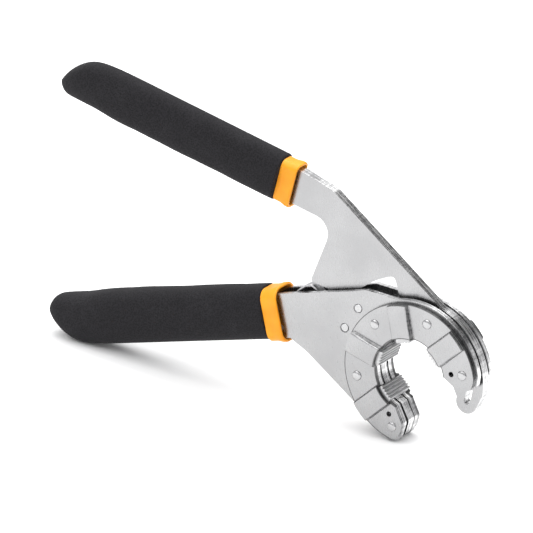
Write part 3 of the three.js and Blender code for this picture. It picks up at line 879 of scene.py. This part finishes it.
@dataclass
class Rivets:
    """Domed guide rivets round the head, and flush rivets between head and handle.

    Attributes:
        circle: Radius of the guide rivets' circle.
        pitch: Angle between guide rivets.
        count: Number of guide rivets.
        gap_half: Half of the gap between the handle plates.
        cover_face: Height of the covers' faces.
        shoulder: Radius of the shoulder in the arm's slots.
        neck: Radius of the neck.
        head: Radius of the domed head.
        dome: Rise and share of radius of each ring of the dome.
        flush_circle: Radius of the flush rivets' circle.
        flush_angles: Places of the flush rivets.
        flush_radius: Radius of a flush rivet.
        flush_neck: Radius of a flush rivet in its bush.
        flush_face: Height of a flush rivet's face.
    """

    wardrobe: Wardrobe
    circle: float = 24.0
    pitch: float = 60.0
    count: int = 5
    gap_half: float = 3.1
    cover_face: float = 6.9
    shoulder: float = 1.3
    neck: float = 0.9
    head: float = 1.35
    dome: tuple[Row, ...] = (
        (0.18, 1.0),
        (0.19, 0.96),
        (0.16, 0.90),
        (0.14, 0.80),
        (0.09, 0.66),
        (0.03, 0.40),
    )
    flush_circle: float = 33.0
    flush_angles: tuple[float, ...] = (126.0, 145.0)
    flush_radius: float = 2.0
    flush_neck: float = 1.2
    flush_face: float = 5.4

    def guide_rivet(self, name: str, axes: Axes) -> bpy.types.Object:
        """Models a guide rivet.

        Args:
            name: Name of the piece.
            axes: Axes on the rivet.

        Returns:
            The piece.
        """
        bench = Bench.bar(name, self.shoulder, self.gap_half, 40)
        for end in (1, -1):
            bench.draw_end(end, [(0.0, self.neck / self.shoulder)])
            bench.draw_end(end, [(self.cover_face - self.gap_half, 1.0)])
            bench.draw_end(end, [(0.0, self.head / self.neck), *self.dome])
        return bench.done(axes, 40.0)

    def flush_rivet(self, name: str, axes: Axes) -> bpy.types.Object:
        """Models a flush rivet with a narrow groove round a faintly domed face.

        Args:
            name: Name of the piece.
            axes: Axes on the rivet.

        Returns:
            The piece.
        """
        bench = Bench.bar(name, self.flush_neck, self.gap_half, 48)
        length = self.flush_face - self.gap_half
        groove = [(0.0, 0.93), (-0.34, 0.9), (0.36, 0.97)]
        rim = [(length - 0.32, 1.0), *groove, (0.14, 0.92), (0.03, 0.6)]
        for end in (1, -1):
            bench.draw_end(end, [(0.0, self.flush_radius / self.flush_neck), *rim])
        return bench.done(axes, 25.0)

    def build(self) -> None:
        """Models one rivet of each kind and copies it to every place."""
        places = [Axes(i * self.pitch, along=self.circle) for i in range(self.count)]
        self.spread("guide_rivet", places, self.guide_rivet)
        places = [Axes(angle, along=self.flush_circle) for angle in self.flush_angles]
        self.spread("handle_rivet", places, self.flush_rivet)

    def spread(
        self,
        kind: str,
        places: Sequence[Axes],
        model: Callable[[str, Axes], bpy.types.Object],
    ) -> None:
        """Models the first of a kind of rivet and copies it to the other places."""
        first = model(f"{kind}_1_turned", places[0])
        pieces = [first]
        for i, place in enumerate(places[1:], start=2):
            pieces.append(copied(first, f"{kind}_{i}_turned", places[0], place))
        for i, piece in enumerate(pieces, start=1):
            self.wardrobe.dress(piece, RIVET_STEEL)
            settle(piece, Body.LOWER, [f"{kind}_{i}"])


# --- Collars and grips --------------------------------------------------------------------------


@dataclass
class Collar:
    """Orange collar: a close sleeve with a rolled lip and a pocket for the plates.

    Attributes:
        length: Length along the handle.
        pocket: Depth of the pocket.
        wall: Wall round the plates' slot.
        lip: How far the lip stands out.
        lip_wall: Thickness of the lip at the mouth.
        corner: Share of the section's half thickness that its corners are rounded by.
        seat: Clearance round the plates.
    """

    wardrobe: Wardrobe
    handle: Handle
    length: float = 7.2
    pocket: float = 4.8
    wall: float = 1.7
    lip: float = 0.5
    lip_wall: float = 0.95
    corner: float = 0.62
    seat: float = 0.3
    rows: tuple[Row, ...] = ((0.0, 0.7), (0.7, 1.0), (2.0, 0.9), (3.2, 0.35), (4.6, 0.0))

    def build(self) -> None:
        """Models the collar and puts it on its handle."""
        hand = self.handle
        start = hand.collar_at
        half_t = (hand.shoulder[1] - hand.shoulder[0]) / 2 + self.wall
        half_z = hand.half_stack() + self.wall + self.seat
        centre = (start, sum(hand.shoulder) / 2, hand.middle())
        low = (start, centre[1] - half_t, centre[2] - half_z)
        high = (start + self.length, centre[1] + half_t, centre[2] + half_z)
        bench = Bench.block(f"{hand.name}_collar_sleeve", low, high)
        bench.pick(Part.EDGES, lambda at, way: abs(way.x) > 0.9)
        bench.bevel(self.corner * half_z, 9, 0.5)
        for along, _ in self.rows[1:]:
            bench.cut((start + along, 0.0, 0.0), (1.0, 0.0, 0.0))
        for along, share in self.rows:
            out = self.lip * share
            bench.pick(Part.VERTICES, lambda at, way: abs(at.x - start - along) < 0.01)
            factor = (1.0, (half_t + out) / half_t, (half_z + out) / half_z)
            bench.scale(factor, centre)
        bench.pick(Part.FACES, lambda at, way: at.x < start + 0.01 and way.x < -0.9)
        bench.inset(self.lip_wall)
        bench.extrude((self.pocket, 0.0, 0.0))
        bench.pick(Part.EDGES, lambda at, way: at.x < start + 0.01 and abs(way.x) < 0.1)
        bench.bevel(0.32, 3)
        reach = hand.tang_half + self.seat
        stack = hand.half_stack() + self.seat
        bench.hollow(
            (start + self.pocket - 0.5, -reach, centre[2] - stack),
            (start + self.length + 1, reach, centre[2] + stack),
        )
        piece = bench.done(hand.axes(), 38.0)
        self.wardrobe.dress(piece, COLLAR)
        settle(piece, hand.body, [f"{hand.name}_collar"])


@dataclass
class FoamGrip:
    """Foam sleeve over a handle's tang, with its end sloped off on the outer side.

    Attributes:
        length: Length of the sleeve.
        start: Distance from the start of the collar.
        tang: Length of the tang inside it.
        seat: Clearance round the tang.
        outer_side: Half height on the outer side, as a share, at distances from the end.
        inner_side: The same on the side that faces the other handle.
        thickness: Share of the half thickness at distances from the end.
        power: How square the section is.
        around: Points round a section.
        roll: How far the mouth's edge is rolled in.
        roll_reach: Distance from the mouth where the roll ends.
    """

    wardrobe: Wardrobe
    handle: Handle
    length: float = 101.5
    start: float = 7.5
    tang: float = 80.4
    seat: float = 0.5
    power: float = 2.5
    around: int = 56
    roll: float = 0.45
    roll_reach: float = 0.6
    outer_side: tuple[Row, ...] = (
        (0.0, -0.38),
        (0.5, -0.22),
        (1.3, -0.04),
        (2.6, 0.18),
        (4.4, 0.40),
        (6.6, 0.60),
        (9.2, 0.765),
        (12.2, 0.88),
        (16.0, 0.945),
        (22.0, 0.985),
        (30.0, 1.0),
    )
    inner_side: tuple[Row, ...] = (
        (0.0, 0.42),
        (0.4, 0.53),
        (1.3, 0.69),
        (2.6, 0.82),
        (3.8, 0.885),
        (6.5, 0.905),
        (17.0, 0.91),
        (21.0, 0.94),
        (25.0, 0.985),
        (30.0, 1.0),
    )
    thickness: tuple[Row, ...] = (
        (0.0, 0.34),
        (0.5, 0.50),
        (1.5, 0.64),
        (3.0, 0.76),
        (5.5, 0.87),
        (9.0, 0.945),
        (14.0, 0.985),
        (22.0, 1.0),
    )
    stations: tuple[float, ...] = (
        0.0, 0.25, 0.6, 1.1, 1.8, 2.8, 4.0, 5.5, 7.2, 9.2, 11.5, 14.0, 17.0, 20.0, 23.0
    )

    @staticmethod
    def read(table: Sequence[Row], distance: float) -> float:
        """Reads a table of distance and value, smoothly between its rows.

        Args:
            table: Rows in order of distance.
            distance: Where to read.

        Returns:
            The value.
        """
        if distance <= table[0][0]:
            return table[0][1]
        for (at, value), (after, next_value) in zip(table, table[1:]):
            if distance <= after:
                return value + (next_value - value) * (distance - at) / (after - at)
        return table[-1][1]

    def section(
        self, along: float, low: float, high: float, half: float, power: float
    ) -> list[Vector]:
        """Points round a rounded section.

        Args:
            along: Place along the handle.
            low: Lowest place across it.
            high: Highest place across it.
            half: Half of the thickness.
            power: How square the section is.

        Returns:
            The points.
        """
        points = []
        for i in range(self.around):
            angle = 2 * math.pi * i / self.around
            x, z = math.cos(angle), math.sin(angle)
            bulge = (abs(x) ** power + abs(z) ** power) ** (-1 / power)
            across = (low + high) / 2 + x * bulge * (high - low) / 2
            points.append(Vector((along, across, self.handle.middle() + z * bulge * half)))
        return points

    def ring(self, distance: float) -> list[Vector]:
        """Section of the sleeve's skin at a distance from its end."""
        hand = self.handle
        mouth = self.length - distance
        share = 1 - min(mouth / self.roll_reach, 1.0)
        rolled = self.roll * (1 - math.sqrt(max(0.0, 1 - share**2)))
        wave = 0.10 * math.sin(distance * 0.19 + hand.heading) + 0.06 * math.sin(distance * 0.47)
        outer = hand.grip_half * self.read(self.outer_side, distance) - rolled
        inner = hand.grip_half * self.read(self.inner_side, distance) - rolled
        if distance > 24:
            inner += wave
        half = (hand.half_stack() + hand.foam) * self.read(self.thickness, distance) - rolled
        low, high = (-inner, outer) if hand.outer > 0 else (-outer, inner)
        along = hand.collar_at + self.start + mouth
        return self.section(along, low, high, half, self.power)

    def rows(self) -> list[list[Vector]]:
        """Sections from the end over the skin to the mouth, then into the socket.

        Returns:
            The sections.
        """
        hand = self.handle
        far = [27.0 + 4.0 * i for i in range(18)]
        near = [self.length - d for d in (2.0, 0.9, 0.5, 0.25, 0.1, 0.0)]
        skin = [self.ring(distance) for distance in (*self.stations, *far, *near)]
        mouth = hand.collar_at + self.start
        reach, stack = hand.tang_half + self.seat, hand.half_stack() + self.seat
        socket = [
            self.section(along, -reach, reach, stack, 9.0)
            for along in (mouth, mouth + 0.4, mouth + self.tang - 0.4, mouth + self.tang)
        ]
        return skin + socket

    def build(self) -> None:
        """Models the sleeve and puts it on its handle."""
        rows = self.rows()
        count = self.around
        corners = [point for row in rows for point in row]
        faces = [
            (r * count + i, r * count + (i + 1) % count, (r + 1) * count + (i + 1) % count,
             (r + 1) * count + i)
            for r in range(len(rows) - 1)
            for i in range(count)
        ]
        last = (len(rows) - 1) * count
        faces.append(tuple(reversed(range(count))))
        faces.append(tuple(last + i for i in range(count)))
        mesh = bpy.data.meshes.new(f"{self.handle.name}_foam_sleeve")
        mesh.from_pydata(corners, [], faces)
        piece = bpy.data.objects.new(mesh.name, mesh)
        bpy.context.scene.collection.objects.link(piece)
        bpy.ops.object.select_all(action="DESELECT")
        piece.select_set(True)
        bpy.context.view_layer.objects.active = piece
        bpy.ops.object.mode_set(mode="EDIT")
        bpy.ops.mesh.select_all(action="SELECT")
        bpy.ops.mesh.normals_make_consistent(inside=False)
        bpy.ops.object.mode_set(mode="OBJECT")
        smooth = piece.modifiers.new("smooth", "SUBSURF")
        smooth.levels = smooth.render_levels = 1
        bpy.ops.object.modifier_apply(modifier=smooth.name)
        bpy.ops.object.shade_smooth()
        mesh = piece.data
        mesh.transform(self.handle.axes().matrix())
        mesh.update()
        self.wardrobe.dress(piece, FOAM)
        settle(piece, self.handle.body, [f"{self.handle.name}_grip"])


# --- Return spring ------------------------------------------------------------------------------


@dataclass
class ReturnSpring:
    """Hairpin of flat strip between the handles, with its eye round a pin.

    Attributes:
        width: Width of the strip through the thickness of the tool.
        thickness: Thickness of the strip.
        eye_radius: Radius of the eye's centre line.
        pin: Place of the pin in the lower handle's axes.
        legs: Points of the legs in the tool's axes, from the eye to the free end.
        anchor: Place left of the head and above it, which build works out in the frame.
        keep: Share of its height that is left when the handles are closed. It is not used.
    """

    wardrobe: Wardrobe
    width: float = 4.6
    thickness: float = 0.8
    eye_radius: float = 2.0
    pin: Row = (56.3, 20.4)
    legs: tuple[Row, ...] = (
        (-52.5, 15.2),
        (-45.0, 12.2),
        (-37.4, 8.6),
        (-33.2, 11.2),
        (-33.5, 19.0),
        (-36.8, 29.0),
        (-40.45, 34.6),
        (-44.25, 34.8),
        (-49.65, 31.6),
    )
    anchor: Row = (45.0, 13.0)
    keep: float = 0.12

    def path(self) -> list[Vector]:
        """Points of the strip's centre line in the tool's axes.

        Returns:
            The points, the eye first.
        """
        along = direction(LOWER.heading - STAND_ANGLE)
        across = direction(LOWER.heading - 90 - STAND_ANGLE)
        pin = along * self.pin[0] + across * self.pin[1]
        eye = [
            pin + direction(angle - STAND_ANGLE) * self.eye_radius for angle in range(60, 263, 14)
        ]
        knots = [eye[-1], *(Vector((x, 0.0, z)) for x, z in self.legs)]
        knots = [knots[0] * 2 - knots[1], *knots, knots[-1] * 2 - knots[-2]]
        curve = []
        for a, b, c, d in zip(knots, knots[1:], knots[2:], knots[3:]):
            for step in range(5):
                t = step / 5
                curve.append(
                    0.5
                    * (
                        2 * b
                        + (c - a) * t
                        + (2 * a - 5 * b + 4 * c - d) * t**2
                        + (3 * b - a - 3 * c + d) * t**3
                    )
                )
        return [*eye[:-1], *curve, knots[-2]]

    def build(self) -> None:
        """Models the spring by drawing an edge along its path, then thickening it."""
        path = [Vector((p.x, -p.z, 0.0)) for p in self.path()]
        bpy.ops.object.select_all(action="DESELECT")
        bpy.ops.mesh.primitive_plane_add(size=1.0)
        bench = Bench("return_spring_strip")
        bench.pick(Part.VERTICES, lambda at, way: at.x > 0)
        bpy.ops.mesh.delete(type="VERT")
        mesh = bmesh.from_edit_mesh(bench.piece.data)
        for end, corner in zip((-1, 1), mesh.verts):
            corner.co = path[0] + Vector((0.0, 0.0, end * self.width / 2))
            corner.select_set(True)
        mesh.select_flush(True)
        bmesh.update_edit_mesh(bench.piece.data)
        bpy.ops.mesh.select_mode(type="EDGE")
        bpy.ops.mesh.select_all(action="SELECT")
        for here, ahead in zip(path, path[1:]):
            bench.extrude(ahead - here)
        bpy.ops.object.mode_set(mode="OBJECT")
        for name, kind, settings in (
            ("strip", "SOLIDIFY", {"thickness": self.thickness, "offset": 0.0}),
            ("edges", "BEVEL", {"width": 0.16, "segments": 2, "angle_limit": math.radians(50)}),
        ):
            made = bench.piece.modifiers.new(name, kind)
            for setting, value in settings.items():
                setattr(made, setting, value)
            bpy.ops.object.modifier_apply(modifier=name)
        bpy.ops.object.mode_set(mode="EDIT")
        bpy.ops.mesh.select_all(action="SELECT")
        bpy.ops.mesh.normals_make_consistent(inside=False)
        piece = bench.done(Axes(0.0), 45.0)
        self.wardrobe.dress(piece, SPRING_STEEL)
        settle(piece, Body.LOWER, ["return_spring"])
        left, above = self.anchor
        anchor = (head_centre() + direction(180) * left + direction(90) * above) * MM
        direction(90)
        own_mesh(piece)


# --- Studio -------------------------------------------------------------------------------------


@dataclass
class Studio:
    """Pale floor, soft lights and the camera.

    Attributes:
        azimuth: Camera's place round the object, in degrees.
        elevation: Camera's height above the horizon, in degrees.
        roll: Turn of the camera about its own line of sight.
        distance: Distance from the object in metres.
        view_width: Width of the view at the object in metres.
        head_right: How far right of the view's middle the head stands.
        head_down: How far below the view's middle the head stands.
        clip: Nearest and farthest distance that the camera sees.
        floor_side: Side of the floor in metres.
        floor_drop: How far under the tool the floor lies.
        tones: Height in the sky and its brightness.
        card_way: Direction of the dark card.
        card_angles: Angles from its middle where the card is full and where it ends.
        card_tone: Share of the light that the card gives back.
        softboxes: Name, place, side and power of each light.
    """

    azimuth: float = 29.46
    elevation: float = 22.78
    roll: float = 4.68
    distance: float = 6.0
    view_width: float = 0.2064
    head_right: float = 0.0588
    head_down: float = 0.0402
    clip: Row = (1.0, 40.0)
    floor_side: float = 14.0
    floor_drop: float = 0.00005
    tones: tuple[tuple[float, float, float, float], ...] = (
        (0.0, 0.50, 0.50, 0.51),
        (0.42, 0.82, 0.82, 0.83),
        (0.85, 1.25, 1.25, 1.25),
    )
    card_way: tuple[float, float, float] = (0.28, 0.80, 0.54)
    card_angles: Row = (11.0, 21.0)
    card_tone: float = 0.06
    softboxes: tuple[tuple[str, tuple[float, float, float], float, float], ...] = (
        ("softbox_above", (-0.12, 0.30, 1.12), 1.2, 12.0),
        ("softbox_front", (-0.5, -0.8, 1.1), 0.9, 5.0),
    )

    def floor(self) -> None:
        """Lays the floor."""
        bpy.ops.object.select_all(action="DESELECT")
        under = (0.0, 0.0, -self.floor_drop)
        bpy.ops.mesh.primitive_plane_add(size=self.floor_side, location=under)
        floor = bpy.context.object
        floor.name = "floor"
        shader = Shader("floor_paper", {"Roughness": 1.0, "Specular IOR Level": 0.0})
        cloud = shader.noise(shader.place(), 3.0)
        tone = shader.blend(cloud, (0.93, 0.93, 0.93), (0.95, 0.95, 0.95))
        floor.data.materials.append(shader.finish({"Base Color": tone}))

    def sky(self) -> None:
        """Surrounds the scene with soft light and a dark card, on a white backdrop."""
        world = bpy.data.worlds.new("studio")
        bpy.context.scene.world = world
        world.use_nodes = True
        tree = world.node_tree
        shell = tree.nodes["Background"]
        way = tree.nodes.new("ShaderNodeTexCoord").outputs["Generated"]
        parts = tree.nodes.new("ShaderNodeSeparateXYZ")
        tree.links.new(way, parts.inputs[0])
        height = tree.nodes.new("ShaderNodeValToRGB")
        stops = height.color_ramp.elements
        low, middle, high = self.tones
        stops[0].position, stops[0].color = low[0], (*low[1:], 1.0)
        stops[1].position, stops[1].color = high[0], (*high[1:], 1.0)
        stops.new(middle[0]).color = (*middle[1:], 1.0)
        tree.links.new(parts.outputs["Z"], height.inputs[0])
        card = tree.nodes.new("ShaderNodeVectorMath")
        card.operation = "DOT_PRODUCT"
        card.inputs[1].default_value = Vector(self.card_way).normalized()
        tree.links.new(way, card.inputs[0])
        shade = tree.nodes.new("ShaderNodeMapRange")
        shade.interpolation_type = "SMOOTHSTEP"
        full, end = (math.cos(math.radians(angle)) for angle in self.card_angles)
        shade.inputs["From Min"].default_value = end
        shade.inputs["From Max"].default_value = full
        shade.inputs["To Min"].default_value = 1.0
        shade.inputs["To Max"].default_value = self.card_tone
        tree.links.new(card.outputs["Value"], shade.inputs["Value"])
        mixed = tree.nodes.new("ShaderNodeMix")
        mixed.data_type = "RGBA"
        mixed.inputs[6].default_value = (0.0, 0.0, 0.0, 1.0)
        tree.links.new(shade.outputs["Result"], mixed.inputs[0])
        tree.links.new(height.outputs[0], mixed.inputs[7])
        seen = tree.nodes.new("ShaderNodeMix")
        seen.data_type = "RGBA"
        seen.inputs[7].default_value = (1.0, 1.0, 1.0, 1.0)
        rays = tree.nodes.new("ShaderNodeLightPath")
        tree.links.new(rays.outputs["Is Camera Ray"], seen.inputs[0])
        tree.links.new(mixed.outputs[2], seen.inputs[6])
        tree.links.new(seen.outputs[2], shell.inputs["Color"])
        shell.inputs["Strength"].default_value = 1.0

    def lamp(self, name: str, place: Vector, size: float, power: float) -> None:
        """Hangs a square soft light that looks at the middle of the object.

        Args:
            name: Name of the light.
            place: Place in metres.
            size: Side of the square in metres.
            power: Power in watts.
        """
        light = bpy.data.lights.new(name, "AREA")
        light.energy = power
        light.size = size
        holder = bpy.data.objects.new(name, light)
        holder.location = place
        holder.rotation_mode = "QUATERNION"
        holder.rotation_quaternion = (-place).to_track_quat("-Z", "Y")
        bpy.context.scene.collection.objects.link(holder)

    def camera(self) -> None:
        """Places the camera."""
        a, e, r = (math.radians(v) for v in (self.azimuth, self.elevation, self.roll))
        back = Vector((math.sin(a) * math.cos(e), -math.cos(a) * math.cos(e), math.sin(e)))
        level_right = Vector((0.0, 0.0, 1.0)).cross(back).normalized()
        level_up = back.cross(level_right)
        right = level_right * math.cos(r) + level_up * math.sin(r)
        up = back.cross(right)
        target = head_centre() * MM - right * self.head_right + up * self.head_down
        place = target + back * self.distance
        data = bpy.data.cameras.new("camera")
        data.sensor_width = 36.0
        data.lens = data.sensor_width * self.distance / self.view_width
        data.clip_start, data.clip_end = self.clip
        camera = bpy.data.objects.new("camera", data)
        turned = Matrix((right, up, back)).transposed().to_4x4()
        camera.matrix_world = Matrix.Translation(place) @ turned
        bpy.context.scene.collection.objects.link(camera)
        bpy.context.scene.camera = camera

    def build(self) -> None:
        """Sets up the studio."""
        self.camera()
        self.floor()
        self.sky()
        for name, place, side, power in self.softboxes:
            self.lamp(name, Vector(place), side, power)
        bpy.context.scene.view_settings.view_transform = "Standard"
        log.info("studio: camera at %.1f, %.1f degrees", self.azimuth, self.elevation)


# --- Assembly -----------------------------------------------------------------------------------


def main() -> None:
    """Builds the looks of the whole tool."""
    logging.basicConfig(level=logging.INFO, format="%(name)s: %(message)s")
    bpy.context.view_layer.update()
    wardrobe = Wardrobe()
    Studio().build()
    StampedSteel(wardrobe).build()
    Rivets(wardrobe).build()
    for handle in (LOWER, UPPER):
        Collar(wardrobe, handle).build()
        FoamGrip(wardrobe, handle).build()
    ReturnSpring(wardrobe).build()


if __name__ == "__main__":
    main()
